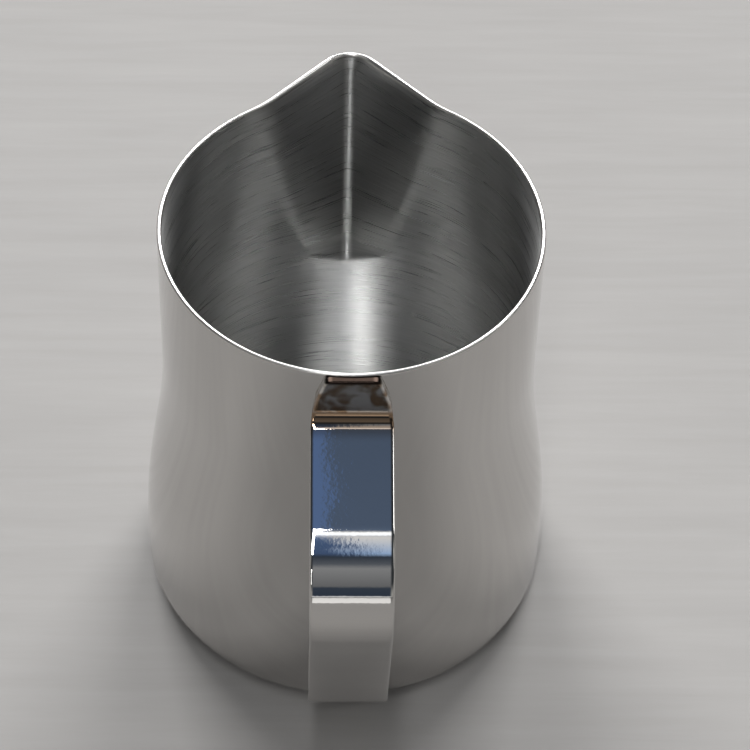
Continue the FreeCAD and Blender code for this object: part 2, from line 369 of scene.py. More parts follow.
def sharp_outline(size, theta, z, inset):
    """Distance from the axis of the body's surface, moved in by inset, at angle theta and height z.

    theta is measured from the spout. Going round from the spout, the outline is an arc of the
    crease's radius about a point on the spout's plane; a straight flank tangent to it; a hollow
    arc of the blend radius, tangent to the flank and to the wall; and the round wall. An arc's
    radius from the axis is its centre's share along theta, plus or minus the half chord.
    """
    theta = np.abs(theta)
    reach = groove_reach(size, z)
    outer_wall = wall_radius(size, z)
    wall = outer_wall - inset
    crease = crease_radius(size, z) - inset
    crease_y = outer_wall + reach - crease - inset
    flank = outer_wall - size.flank_dip * reach - inset
    blend = size.flank_blend + inset
    turn = np.arccos(np.clip((flank - crease) / crease_y, -1, 1))
    crease_end = np.arctan2(crease * np.sin(turn), crease_y + crease * np.cos(turn))
    out = flank + blend
    along = np.sqrt(np.maximum((wall + blend) ** 2 - out ** 2, 0))
    blend_turn = turn - np.arctan2(along, out)
    flank_end = turn - np.arctan2(along, flank)
    half_chord = np.sqrt(np.maximum(crease ** 2 - (crease_y * np.sin(theta)) ** 2, 0))
    on_crease = crease_y * np.cos(theta) + half_chord
    # Off the flank, the angle is clipped short of a right angle, where its secant has no value.
    on_flank = flank / np.cos(np.clip(theta - turn, -1.4, 1.4))
    away = (wall + blend) * np.sin(theta - blend_turn)
    half_chord = np.sqrt(np.maximum(blend ** 2 - away ** 2, 0))
    on_blend = (wall + blend) * np.cos(theta - blend_turn) - half_chord
    return np.select([theta < crease_end, theta < flank_end, theta < blend_turn],
                     [on_crease, on_flank, on_blend], wall + 0 * theta)


def outline_radius(size, theta, z, inset):
    """The sharp outline, averaged over a few degrees where pressed sheet eases its bends.

    The average is a bell of samples, a squared cosine that ends just above nothing. Its width
    grows from nothing at the crease to its full size where the flanks end.
    """
    spread = size.easing * smooth_step((np.abs(theta) - size.easing_start) / size.easing_run)
    offsets = np.linspace(-1, 1, EASING_SAMPLES)
    bell = np.cos(offsets * math.pi / 2) ** 2 + 0.02
    total = sum(w * sharp_outline(size, theta + spread * o, z, inset)
                for w, o in zip(bell, offsets))
    return total / bell.sum()


def wall_heights(size):
    """Heights of the wall's rows, from the base corner to where the rim begins to round.

    They are closest together over the groove's toe and over the curl of the lip.
    """
    foot = size.height - size.spout_drop
    below_toe = foot - 0.002
    above_toe = foot + 0.009
    curl = size.height - size.lip_curl
    top = size.height - size.sheet / 2
    ends = (size.corner_radius, below_toe, above_toe, curl, top)
    runs = [np.linspace(low, high, count)[1:]
            for low, high, count in zip(ends, ends[1:], WALL_POINTS)]
    return np.concatenate((ends[:1], *runs))


def body_grid(size, columns=BODY_COLUMNS):
    """Points of the body as a grid: rows along the sheet's profile, columns round the axis.

    The rows run from the middle of the base's underside, up the outside, over the rim and down
    the inside. Columns crowd towards the spout: theta is pi times a cubic of the column's place.
    Outside and inside share one list of wall heights. The base corner is a quarter circle, and
    the rim a half ellipse from the outer to the inner outline. Returns (points, lengths along the
    profile, thetas, number of rows outside, number of rows over the rim).
    """
    place = np.linspace(-1, 1, columns + 1)[:-1]
    theta = math.pi * (0.25 * place + 0.75 * place ** 3)
    walls = wall_heights(size)
    rim_turn = np.linspace(0, math.pi, RIM_ROWS + 2)[1:-1]
    quarter = np.linspace(0, math.pi / 2, CORNER_ROWS + 1)[:-1]
    centre_r = size.belly_radius - size.corner_radius
    # The rings of the base start just outside the pole that closes its middle.
    rings = np.linspace(0.02, 1, BASE_ROWS + 1)[:-1] * centre_r

    def base(inset):
        """Radii and heights of the flat base's rings and the corner's, moved in by inset."""
        corner = size.corner_radius - inset
        radius = np.concatenate((rings, centre_r + corner * np.sin(quarter)))
        height = np.concatenate((np.full(len(rings), inset),
                                 size.corner_radius - corner * np.cos(quarter)))
        return np.repeat(radius[:, None], columns, 1), np.repeat(height[:, None], columns, 1)

    def wall(inset):
        """Radii and heights of the wall's rows, moved in by inset."""
        height = np.repeat(walls[:, None], columns, 1)
        return outline_radius(size, theta[None, :], height, inset), height

    outer_base, outer_base_z = base(0.0)
    inner_base, inner_base_z = base(size.sheet)
    outer, outer_z = wall(0.0)
    inner, inner_z = wall(size.sheet)
    rim_z = walls[-1] + size.sheet / 2 * np.sin(rim_turn)[:, None] + np.zeros((1, columns))
    rim_outer = outline_radius(size, theta[None, :], rim_z, 0.0)
    rim_inner = outline_radius(size, theta[None, :], rim_z, size.sheet)
    swing = np.cos(rim_turn)[:, None]
    rim = (rim_outer + rim_inner) / 2 + (rim_outer - rim_inner) / 2 * swing
    radius = np.concatenate((outer_base, outer, rim, inner[::-1], inner_base[::-1]))
    height = np.concatenate((outer_base_z, outer_z, rim_z, inner_z[::-1], inner_base_z[::-1]))
    steps = np.hypot(np.diff(radius[:, 0]), np.diff(height[:, 0]))
    length = np.concatenate(([0.0], np.cumsum(steps)))
    points = np.stack((radius * np.sin(theta), radius * np.cos(theta), height), -1)
    return points, length, theta, len(outer_base) + len(outer), len(rim)


def closed_grid_mesh(points, length, around, pole_low, pole_high):
    """Vertices, quads and UVs of a grid closed round its columns, with a pole at each end.

    The UVs' first axis is the length along the profile, in metres, and the second is around,
    which has one value more than there are columns, for the seam.
    """
    rows, columns = points.shape[:2]
    index = np.arange(rows * columns).reshape(rows, columns)
    nxt = np.roll(index, -1, axis=1)
    quads = np.stack((index[:-1], index[1:], nxt[1:], nxt[:-1]), -1).reshape(-1, 4)
    a = np.broadcast_to(around[None, :-1], (rows - 1, columns))
    b = np.broadcast_to(around[None, 1:], (rows - 1, columns))
    low = np.broadcast_to(length[:-1, None], (rows - 1, columns))
    high = np.broadcast_to(length[1:, None], (rows - 1, columns))
    uv = np.stack((np.stack((low, a), -1), np.stack((high, a), -1),
                   np.stack((high, b), -1), np.stack((low, b), -1)), 2).reshape(-1, 4, 2)
    first = rows * columns
    last = first + 1
    cap_low = np.stack((np.full(columns, first), index[0], nxt[0], nxt[0]), -1)
    cap_high = np.stack((np.full(columns, last), nxt[-1], index[-1], index[-1]), -1)
    cap_uv_low = np.stack((np.stack((0 * a[0], a[0]), -1), np.stack((low[0], a[0]), -1),
                           np.stack((low[0], b[0]), -1), np.stack((low[0], b[0]), -1)), 1)
    cap_uv_high = np.stack((np.stack((high[-1], a[0]), -1), np.stack((high[-1], b[0]), -1),
                            np.stack((high[-1], a[0]), -1), np.stack((high[-1], a[0]), -1)), 1)
    vertices = np.concatenate((points.reshape(-1, 3), [pole_low], [pole_high]))
    faces = np.concatenate((quads, cap_low, cap_high))
    return vertices, faces, np.concatenate((uv, cap_uv_low, cap_uv_high))


# ---- shape of the strap --------------------------------------------------------------
# How finely the strap is divided: its rows are a step apart, in metres, and closer at its ends.
ROW_STEP = 0.0005
END_ROWS = 6
BEND_POINTS = 60
FACE_POINTS = 25
EDGE_POINTS = 11


def strap_corners(body, strap):
    """Corners of the strap's outside face as (distance from the axis, height), top tab first."""
    upper_face = body.mouth_radius + strap.thickness
    lower_face = body.belly_radius + strap.thickness
    upper_tip = STRAP_HIGH.z
    lower_tip = STRAP_LOW.z
    upper_corner = upper_tip - strap.upper_tab
    lower_corner = lower_tip + strap.lower_tab
    outer_r = body.mouth_radius + strap.reach
    outer_z = upper_corner - (outer_r - upper_face) * math.tan(strap.top_slope)
    lean = math.tan(strap.leg_slope)
    fall = math.tan(strap.lower_slope)
    foot_r = outer_r - lean * (outer_z - lower_corner + fall * lower_face)
    foot_r = foot_r / (1 - lean * fall)
    foot_z = lower_corner + fall * (foot_r - lower_face)
    return np.array([
        (upper_face, upper_tip), (upper_face, upper_corner), (outer_r, outer_z),
        (foot_r, foot_z), (lower_face, lower_corner), (lower_face, lower_tip)])


def rounded_path(corners, radii, end_rounding):
    """Points, unit tangents and distances along straight runs joined by arcs at the corners.

    They are a row step apart, and at both ends as a quarter circle of the end rounding needs
    them. A tangent is the difference of two points just ahead and just behind.
    """
    pieces = [corners[:1]]
    for i, radius in enumerate(radii, start=1):
        back = corners[i - 1] - corners[i]
        ahead = corners[i + 1] - corners[i]
        back = back / np.linalg.norm(back)
        ahead = ahead / np.linalg.norm(ahead)
        half = math.acos(float(back @ ahead)) / 2
        middle = (back + ahead) / np.linalg.norm(back + ahead)
        centre = corners[i] + middle * radius / math.sin(half)
        spoke_in = corners[i] + back * radius / math.tan(half) - centre
        spoke_out = corners[i] + ahead * radius / math.tan(half) - centre
        start = math.atan2(spoke_in[1], spoke_in[0])
        sweep = math.atan2(spoke_out[1], spoke_out[0]) - start
        sweep = (sweep + math.pi) % (2 * math.pi) - math.pi
        angle = start + sweep * np.linspace(0, 1, BEND_POINTS)
        pieces.append(centre + radius * np.stack((np.cos(angle), np.sin(angle)), -1))
    pieces.append(corners[-1:])
    path = np.concatenate(pieces)
    gone = np.concatenate(([0.0], np.cumsum(np.linalg.norm(np.diff(path, axis=0), axis=1))))
    quarter = end_rounding * (1 - np.cos(np.linspace(0, math.pi / 2, END_ROWS + 1)[:-1]))
    middle = np.linspace(end_rounding, gone[-1] - end_rounding, int(gone[-1] / ROW_STEP))
    at = np.concatenate((quarter, middle, gone[-1] - quarter[::-1]))
    nudge = 0.00002
    points, ahead, behind = [
        np.stack([np.interp(place, gone, path[:, k]) for k in (0, 1)], -1)
        for place in (at, at + nudge, at - nudge)]
    tangent = ahead - behind
    tangent /= np.linalg.norm(tangent, axis=1)[:, None]
    return points, tangent, at


def strap_half_width(strap, end):
    """Half the strap's width at a height, end, from its tip: a steep, then a gentle taper.

    At the very tip the outline turns in along a quarter circle at each corner.
    """
    known = (0.0, strap.tab_taper, strap.tab_taper + strap.tab_blend)
    width = (strap.tab_tip_width, strap.tab_shoulder_width, strap.width)
    left = np.clip(strap.tab_corner - end, 0, strap.tab_corner)
    turned_in = strap.tab_corner - np.sqrt(strap.tab_corner ** 2 - left ** 2)
    return np.interp(end, known, width) / 2 - turned_in


def strap_section():
    """Outline of the strip: two flat faces joined by half-round edges.

    Each point has a share of the flats' half width, from -1 to 1, and the two parts, across and
    through, of the direction in which the edge's rounding moves it.
    """
    flat = np.linspace(-1, 1, FACE_POINTS)
    turn = np.linspace(0, math.pi, EDGE_POINTS + 2)[1:-1]
    share = np.concatenate((flat, np.ones(len(turn)), flat[::-1], -np.ones(len(turn))))
    across = np.concatenate((0 * flat, np.sin(turn), 0 * flat, -np.sin(turn)))
    through = np.concatenate((0 * flat + 1, np.cos(turn), 0 * flat - 1, -np.cos(turn)))
    return share, across, through


def strap_grid(body, strap):
    """Points of the strap as a grid: rows along its path, columns round its section.

    The section is carried along the outside face's path, half a thickness in. The outside face
    rolls off very slightly close to the long edges, as an eighth power of the distance from the
    middle. On each tab the inside face is hollowed to the wall's radius, so that the tab sits
    against the wall all across; beyond 0.6 of the tab's length the hollow runs out. Two faint
    round dimples mark each tab's outside face where it is spot-welded.
    """
    corners = strap_corners(body, strap)
    radii = (strap.tab_bend, strap.upper_bend, strap.lower_bend, strap.tab_bend)
    face, tangent, at = rounded_path(corners, radii, strap.edge_radius)
    total = at[-1]
    upper = at < total / 2
    normal = np.stack((-tangent[:, 1], tangent[:, 0]), -1)
    half = strap.thickness / 2
    share, across, through = strap_section()
    tip = np.minimum(at, total - at)[:, None]
    left = np.clip(strap.edge_radius - tip, 0, strap.edge_radius)
    rounding = np.sqrt(strap.edge_radius ** 2 - left ** 2)
    end = np.where(upper, STRAP_HIGH.z - face[:, 1], face[:, 1] - STRAP_LOW.z)
    width = strap_half_width(strap, end)[:, None]
    x = share[None, :] * (width - strap.edge_radius) + across[None, :] * rounding
    depth = (half - strap.edge_radius + rounding * np.abs(through)[None, :]) * np.sign(through)
    roll_off = strap.roll_off * np.abs(share) ** 8
    depth = depth - half - np.where(through > 0, roll_off, 0)[None, :]
    tab = np.where(upper, strap.upper_tab, strap.lower_tab)[:, None]
    radius = np.where(upper, body.mouth_radius, body.belly_radius)[:, None]
    hug = 1 - smooth_step((tip - tab * 0.6) / (tab * 0.5))
    hollow = hug * (radius - np.sqrt(radius ** 2 - x ** 2)) * (1 - through[None, :]) / 2
    dimple = 0.0
    for side in (-1, 1):
        gap = np.hypot(x - side * strap.weld_spacing / 2, tip - strap.weld_from_tip)
        ring = np.clip(1 - gap / (strap.weld_diameter / 2), 0, 1)
        dimple = dimple + strap.dimple * smooth_step(ring)
    depth = depth - dimple * (through[None, :] > 0.5)
    r = face[:, :1] + normal[:, :1] * depth - hollow
    z = face[:, 1:] + normal[:, 1:] * depth
    points = np.stack((np.broadcast_to(x, r.shape), -r, z), -1)
    # Three shrunken copies of the end rows keep the flat ends' shading flat. In the UVs they lie
    # a tenth of a millimetre apart.
    first, last = points[:1], points[-1:]
    shrink = np.array([0.4, 0.75, 0.93])[:, None, None]
    start = first.mean(1, keepdims=True) * (1 - shrink) + first * shrink
    stop = last.mean(1, keepdims=True) * (1 - shrink[::-1]) + last * shrink[::-1]
    points = np.concatenate((start, points, stop))
    extra = np.array((1, 2, 3)) * 1e-4
    length = np.concatenate((-extra[::-1], at, total + extra))
    return points, length


# ---- finishes ------------------------------------------------------------------------
def polished_stainless(name, colour, ripple, grit, gloss):
    """Stainless steel, buffed: (material, node tree, shader), with reflections that waver a little.

    ripple and grit are the heights, in metres, of the long and the short unevenness, and gloss
    is the lowest and the highest roughness.
    """
    material, tree, shader = new_material(name)
    place = add_node(tree, "ShaderNodeTexCoord").outputs["Object"]
    # Buffing leaves soft waves about a centimetre long, which bend straight reflections.
    wave = add_node(tree, "ShaderNodeTexNoise", {},
                    {"Vector": place, "Scale": 1 / 0.011, "Detail": 1.5, "Roughness": 0.4})
    # Rolled strip and drawn sheet keep a fine orange peel, under a millimetre across.
    peel = add_node(tree, "ShaderNodeTexNoise", {},
                    {"Vector": place, "Scale": 1 / 0.0008, "Detail": 2.0})
    # Handling leaves patches a few centimetres across that are a touch less clear.
    smudge = add_node(tree, "ShaderNodeTexNoise", {},
                      {"Vector": place, "Scale": 1 / 0.03, "Detail": 3.0, "Distortion": 0.6})
    rough = add_node(tree, "ShaderNodeMapRange", {},
                     {"Value": smudge.outputs["Fac"], "From Min": 0.35, "From Max": 0.7,
                      "To Min": gloss[0], "To Max": gloss[1]})
    soft = add_node(tree, "ShaderNodeBump", {},
                    {"Height": wave.outputs["Fac"], "Strength": 1.0, "Distance": ripple})
    fine = add_node(tree, "ShaderNodeBump", {},
                    {"Height": peel.outputs["Fac"], "Strength": 1.0, "Distance": grit,
                     "Normal": soft.outputs["Normal"]})
    shade = add_node(tree, "ShaderNodeMapRange", {},
                     {"Value": smudge.outputs["Fac"], "To Min": 1.0, "To Max": 0.93})
    tint = add_node(tree, "ShaderNodeVectorMath", {"operation": "SCALE"},
                    {0: linear(colour)[:3], "Scale": shade.outputs["Result"]})
    tree.links.new(tint.outputs["Vector"], shader.inputs["Base Color"])
    tree.links.new(rough.outputs["Result"], shader.inputs["Roughness"])
    tree.links.new(fine.outputs["Normal"], shader.inputs["Normal"])
    shader.inputs["Metallic"].default_value = 1.0
    return material, tree, shader


def strap_stainless(name, finish):
    """Polished strip whose welded tabs carry brown blotches, partly weld tint and partly painted
    reflection, and whose upper tab's end is painted dark.
    """
    material, tree, shader = polished_stainless(
        name, finish.steel, ripple=0.000022, grit=0.0000036, gloss=(0.02, 0.05))
    place = add_node(tree, "ShaderNodeTexCoord").outputs["Object"]
    height = add_node(tree, "ShaderNodeSeparateXYZ", {}, {"Vector": place}).outputs["Z"]
    # The tint fades in through the bend below the upper tab and the bend above the lower one.
    upper = add_node(tree, "ShaderNodeMapRange", SOFT,
                     {"Value": height, "From Min": 0.0968, "From Max": 0.0984})
    lower = add_node(tree, "ShaderNodeMapRange", SOFT,
                     {"Value": height, "From Min": 0.0225, "From Max": 0.0175})
    tab = add_node(tree, "ShaderNodeMath", {"operation": "MAXIMUM"},
                   {0: upper.outputs["Result"], 1: lower.outputs["Result"]})
    # The blotches are about 4.5 mm across, the size of a weld's heated spot; their brown is partly
    # weld tint and partly painted reflection.
    blotch = add_node(tree, "ShaderNodeTexNoise", {},
                      {"Vector": place, "Scale": 1 / 0.0045, "Detail": 2.0, "Distortion": 0.8})
    spread = add_node(tree, "ShaderNodeMapRange", SOFT,
                      {"Value": blotch.outputs["Fac"], "From Min": 0.40, "From Max": 0.62})
    # Below the upper tab's flat face, through the bend, the brown covers everything: there it is
    # painted reflection.
    bend = add_node(tree, "ShaderNodeMapRange", SOFT,
                    {"Value": height, "From Min": 0.1015, "From Max": 0.1000})
    cover = add_node(tree, "ShaderNodeMath", {"operation": "MAXIMUM"},
                     {0: spread.outputs["Result"], 1: bend.outputs["Result"]})
    brown_share = add_node(tree, "ShaderNodeMath", {"operation": "MULTIPLY"},
                    {0: tab.outputs[0], 1: cover.outputs[0]})
    plain_colour = shader.inputs["Base Color"].links[0].from_socket
    tinted = add_node(tree, "ShaderNodeMix", {"data_type": "RGBA"},
                      {MIX_SHARE: brown_share.outputs[0], MIX_FIRST: plain_colour,
                       MIX_SECOND: linear(finish.weld_tint_and_reflection)})
    # The end of the upper tab, next to the rim, is painted near black: painted shade that hides the
    # lamps' highlight on it.
    end = add_node(tree, "ShaderNodeMapRange", SOFT,
                   {"Value": height, "From Min": 0.1086, "From Max": 0.1093})
    tip_shaded = add_node(tree, "ShaderNodeMix", {"data_type": "RGBA"},
                        {MIX_SHARE: end.outputs["Result"], MIX_FIRST: tinted.outputs[MIXED],
                         MIX_SECOND: linear(finish.painted_tip_shade)})
    tree.links.new(tip_shaded.outputs[MIXED], shader.inputs["Base Color"])
    # Pressing between the weld electrodes dulls the flat of the upper tab.
    flat = add_node(tree, "ShaderNodeMapRange", SOFT,
                    {"Value": height, "From Min": 0.0995, "From Max": 0.1015})
    plain_rough = shader.inputs["Roughness"].links[0].from_socket
    dull = add_node(tree, "ShaderNodeMath", {"operation": "MULTIPLY_ADD"},
                    {0: flat.outputs["Result"], 1: 0.18, 2: plain_rough})
    tree.links.new(dull.outputs[0], shader.inputs["Roughness"])
    return material


def brushed_stainless(name, finish):
    """Stainless steel, brushed round and round: satin, with streaks that follow the brush."""
    material, tree, shader = new_material(name)
    place = add_node(tree, "ShaderNodeTexCoord").outputs["Object"]
    sheet = add_node(tree, "ShaderNodeUVMap", {"uv_map": "sheet"})
    along = add_node(tree, "ShaderNodeSeparateXYZ", {}, {"Vector": sheet.outputs["UV"]})
    part = add_node(tree, "ShaderNodeSeparateXYZ", {}, {"Vector": place})

    def streaks(pitch, run):
        """Noise that is long, run, round the axis and short, pitch, up the sheet."""
        x = add_node(tree, "ShaderNodeMath", {"operation": "DIVIDE"},
                     {0: part.outputs["X"], 1: run})
        y = add_node(tree, "ShaderNodeMath", {"operation": "DIVIDE"},
                     {0: part.outputs["Y"], 1: run})
        up = add_node(tree, "ShaderNodeMath", {"operation": "DIVIDE"},
                      {0: along.outputs["X"], 1: pitch})
        vector = add_node(tree, "ShaderNodeCombineXYZ", {},
                          {"X": x.outputs[0], "Y": y.outputs[0], "Z": up.outputs[0]})
        noise = add_node(tree, "ShaderNodeTexNoise", {},
                         {"Vector": vector.outputs["Vector"], "Scale": 1.0, "Detail": 2.0,
                          "Roughness": 0.6})
        return noise.outputs["Fac"]

    # The abrasive's lines are under 0.1 mm apart; they are drawn 0.3 mm apart so that they show.
    fine = streaks(pitch=0.0003, run=0.014)
    # Passes of the brush, about 2 mm wide, overlap unevenly.
    coarse = streaks(pitch=0.002, run=0.03)
    mixed = add_node(tree, "ShaderNodeMath", {"operation": "MULTIPLY_ADD"},
                     {0: coarse, 1: 0.5, 2: fine})
    rough = add_node(tree, "ShaderNodeMapRange", {},
                     {"Value": mixed.outputs[0], "From Min": 0.45, "From Max": 1.05,
                      "To Min": 0.25, "To Max": 0.33})
    bump = add_node(tree, "ShaderNodeBump", {},
                    {"Height": fine, "Strength": 1.0, "Distance": 0.0000007})
    shade = add_node(tree, "ShaderNodeMapRange", {},
                     {"Value": mixed.outputs[0], "From Min": 0.45, "From Max": 1.05,
                      "To Min": 0.78, "To Max": 1.08})
    plain = add_node(tree, "ShaderNodeVectorMath", {"operation": "SCALE"},
                     {0: linear(finish.brushed)[:3], "Scale": shade.outputs["Result"]})
    # Down the crease, a painted highlight: a line 2 mm wide painted brighter, which stands in for
    # the crease's reflection.
    beside = add_node(tree, "ShaderNodeMath", {"operation": "ABSOLUTE"}, {0: part.outputs["X"]})
    thin = add_node(tree, "ShaderNodeMapRange", SOFT,
                    {"Value": beside.outputs[0], "From Min": 0.0016, "From Max": 0.0004})
    ahead = add_node(tree, "ShaderNodeMapRange", SOFT,
                     {"Value": part.outputs["Y"], "From Min": 0.0385, "From Max": 0.0400})
    above = add_node(tree, "ShaderNodeMapRange", SOFT,
                     {"Value": part.outputs["Z"], "From Min": 0.053, "From Max": 0.056})
    crease = add_node(tree, "ShaderNodeMath", {"operation": "MULTIPLY"},
                      {0: thin.outputs["Result"], 1: ahead.outputs["Result"]})
    pressed = add_node(tree, "ShaderNodeMath", {"operation": "MULTIPLY"},
                       {0: crease.outputs[0], 1: above.outputs["Result"]})
    tinted = add_node(tree, "ShaderNodeMix", {"data_type": "RGBA"},
                      {MIX_SHARE: pressed.outputs[0], MIX_FIRST: plain.outputs["Vector"],
                       MIX_SECOND: linear(finish.pressed)})
    tree.links.new(tinted.outputs[MIXED], shader.inputs["Base Color"])
    tree.links.new(rough.outputs["Result"], shader.inputs["Roughness"])
    tree.links.new(bump.outputs["Normal"], shader.inputs["Normal"])
    # The UV's first axis runs up the wall, across the brush lines, which is the way gloss spreads.
    tangent = add_node(tree, "ShaderNodeTangent", {"direction_type": "UV_MAP", "uv_map": "sheet"})
    tree.links.new(tangent.outputs["Tangent"], shader.inputs["Tangent"])
    shader.inputs["Metallic"].default_value = 1.0
    shader.inputs["Anisotropic"].default_value = 0.90
    return material


def weld_steel(name, colour):
    """Steel that has melted and set: dull and slightly pitted."""
    material, tree, shader = new_material(name)
    place = add_node(tree, "ShaderNodeTexCoord").outputs["Object"]
    # The pits are a few tenths of a millimetre across and 0.03 mm deep.
    pits = add_node(tree, "ShaderNodeTexNoise", {},
                    {"Vector": place, "Scale": 1 / 0.0006, "Detail": 3.0})
    bump = add_node(tree, "ShaderNodeBump", {},
                    {"Height": pits.outputs["Fac"], "Strength": 0.6, "Distance": 0.00003})
    rough = add_node(tree, "ShaderNodeMapRange", {},
                     {"Value": pits.outputs["Fac"], "To Min": 0.4, "To Max": 0.65})
    tree.links.new(rough.outputs["Result"], shader.inputs["Roughness"])
    tree.links.new(bump.outputs["Normal"], shader.inputs["Normal"])
    shader.inputs["Base Color"].default_value = linear(colour)
    shader.inputs["Metallic"].default_value = 1.0
    return material


def matt_floor(name, colour):
    """A plain painted board: matt, with a barely seen grain along the X axis."""
    material, tree, shader = new_material(name)
    place = add_node(tree, "ShaderNodeTexCoord").outputs["Object"]
    # The grain is 70 mm long and 5 mm wide.
    long = add_node(tree, "ShaderNodeMapping", {}, {"Vector": place, "Scale": (1.0, 14.0, 1.0)})
    grain = add_node(tree, "ShaderNodeTexNoise", {},
                     {"Vector": long.outputs["Vector"], "Scale": 1 / 0.07, "Detail": 5.0,
                      "Roughness": 0.62, "Distortion": 0.25})
    shade = add_node(tree, "ShaderNodeMapRange", {},
                     {"Value": grain.outputs["Fac"], "From Min": 0.25, "From Max": 0.75,
                      "To Min": 0.94, "To Max": 1.06})
    tint = add_node(tree, "ShaderNodeVectorMath", {"operation": "SCALE"},
                    {0: linear(colour)[:3], "Scale": shade.outputs["Result"]})
    tree.links.new(tint.outputs["Vector"], shader.inputs["Base Color"])
    shader.inputs["Roughness"].default_value = 0.75
    return material


# ---- operators -----------------------------------------------------------------------
class PITCHER_OT_body(bpy.types.Operator):
    """Make the one-piece body: base, belly, neck, spout and rim in one sheet"""

    bl_idname = "pitcher.body"
    bl_label = "Pitcher body"

    def execute(self, context):
        size = context.scene.pitcher_body
        finish = context.scene.pitcher_finishes
        points, length, theta, outside, rim = body_grid(size)
        around = np.append(theta, theta[0] + 2 * math.pi)
        vertices, faces, uv = closed_grid_mesh(
            points, length, around, (0, 0, 0), (0, 0, size.sheet))
        # Material slots by row: polished outside, buffed rim, brushed inside; then the two caps.
        columns = points.shape[1]
        row = np.repeat(np.arange(len(points) - 1), columns)
        slots = np.select([row < outside, row < outside + rim + 1], [0, 1], 2)
        slots = np.concatenate((slots, np.zeros(columns), np.full(columns, 2)))
        materials = [
            polished_stainless("polished_stainless_wall", finish.steel,
                               ripple=0.00003, grit=0.0000015, gloss=(0.05, 0.10))[0],
            polished_stainless("buffed_stainless_rim", finish.steel,
                               ripple=0.000002, grit=0.0000015, gloss=(0.24, 0.32))[0],
            brushed_stainless("brushed_stainless_inside", finish),
        ]
        body = mesh_object("pitcher_shell", vertices, faces, uv, slots, materials)
        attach(body, "root")
        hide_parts("pitcher_body")
        return {"FINISHED"}


class PITCHER_OT_strap(bpy.types.Operator):
    """Make the bent strap handle with its two spot-welded tabs"""

    bl_idname = "pitcher.strap"
    bl_label = "Strap handle"

    def execute(self, context):
        body = context.scene.pitcher_body
        strap = context.scene.pitcher_strap
        points, length = strap_grid(body, strap)
        girth = 2 * (strap.width + strap.thickness)
        around = np.linspace(0, girth, points.shape[1] + 1)
        vertices, faces, uv = closed_grid_mesh(
            points, length, around, points[0].mean(0), points[-1].mean(0))
        slots = np.zeros(len(faces))
        material = strap_stainless("polished_stainless_strap", context.scene.pitcher_finishes)
        handle = mesh_object("strap_handle", vertices, faces, uv, slots, [material])
        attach(handle, "root")
        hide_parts("handle_strap")
        return {"FINISHED"}


class PITCHER_OT_welds(bpy.types.Operator):
    """Give the weld nuggets, which lie inside the wall and the tabs, their own dull steel"""

    bl_idname = "pitcher.welds"
    bl_label = "Spot welds"

    def execute(self, context):
        material = weld_steel("fused_weld_steel", context.scene.pitcher_finishes.weld)
        for name in ("upper_spot_welds", "lower_spot_welds"):
            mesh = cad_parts[name].data
            mesh.materials.clear()
            mesh.materials.append(material)
        return {"FINISHED"}


class PITCHER_OT_studio(bpy.types.Operator):
    """Lay the floor, hang the lights and set up the camera"""

    bl_idname = "pitcher.studio"
    bl_label = "Studio"

    def execute(self, context):
        add_floor(context.scene.pitcher_finishes)
        add_surroundings(context.scene)
        rim = Vector((0, 0, context.scene.pitcher_body.height))
        for softbox in SOFTBOXES:
            add_softbox(rim, *softbox)
        context.scene.view_settings.view_transform = "Standard"
        add_camera(context.scene, rim)
        return {"FINISHED"}


# ---- stage ---------------------------------------------------------------------------
FLOOR_RADIUS = 6.0
FLOOR_SIDES = 96
BACKDROP = "#d9d8d6"

# The softboxes, each as (name, azimuth, elevation, distance, width, depth, power, colour).
# Azimuth 0 is straight behind the handle. Angles are in degrees, lengths in metres.
SOFTBOXES = (
    # Two narrow ones, high and low behind the handle, draw the bright stripe down the inside.
    ("key_softbox", 10.5, 67, 3.6, 0.24, 2.0, 36, "#ffffff"),
    ("low_softbox", 12, 24, 3.6, 0.4, 1.2, 12, "#ffffff"),
    # Two weak ones fill the sides, and a narrow one draws the line down the strap's right edge.
    ("right_softbox", -52, 40, 3.6, 1.8, 2.0, 8.8, "#fffdf8"),
    ("left_softbox", 52, 40, 3.6, 1.6, 2.0, 4.8, "#fffdf8"),
    ("edge_softbox", -92, 44, 3.6, 0.32, 1.8, 12, "#ffffff"),
    # Three on the spout's side light the inside to both sides of the groove, and its crease.
    ("back_right_softbox", -157, 44, 3.6, 1.4, 1.6, 120, "#ffffff"),
    ("back_left_softbox", 157, 44, 3.6, 1.4, 1.6, 120, "#ffffff"),
    ("back_softbox", 180, 46, 3.6, 0.6, 1.6, 6.4, "#ffffff"),
    # A small one just above the floor draws the white line where the strap turns down.
    ("front_card", 0, -7.2, 0.6, 0.1, 0.066, 0.018, "#ffffff"),
)

# The sky's bands as (degrees, colour): 0 is the horizon on the handle's side, 90 is overhead
# and 180 is the horizon on the spout's side. The steel's bends mirror them one after another.
NEAR_BANDS = ((0.0, "#eef0f2"), (0.8, "#e4e7ea"), (1.4, "#3a4555"), (11.5, "#414b59"),
              (14.0, "#7b7d80"), (36.0, "#9c9ea1"), (41.5, "#656b74"), (50.0, "#3d4653"))
SHADED_PATCH = ((54.0, "#4d6389"), (73.0, "#506c96"))
SHINING_PATCH = ((54.0, "#b4d4ff"), (73.0, "#ffffff"))
FAR_BANDS = ((76.0, "#f0f4fa"), (79.6, "#ffffff"), (82.0, "#62748f"), (95.0, "#505d72"),
             (120.0, "#464d58"), (131.0, "#50555d"), (150.0, "#7d8186"), (180.0, "#a0a2a6"))
SLIT_GLARE = "#e6ebf2"
OVERHEAD_BLUE = "#2c4878"
SIDE_HAZE = "#b4b3b0"
SIDE_DUSK = "#3a3d41"


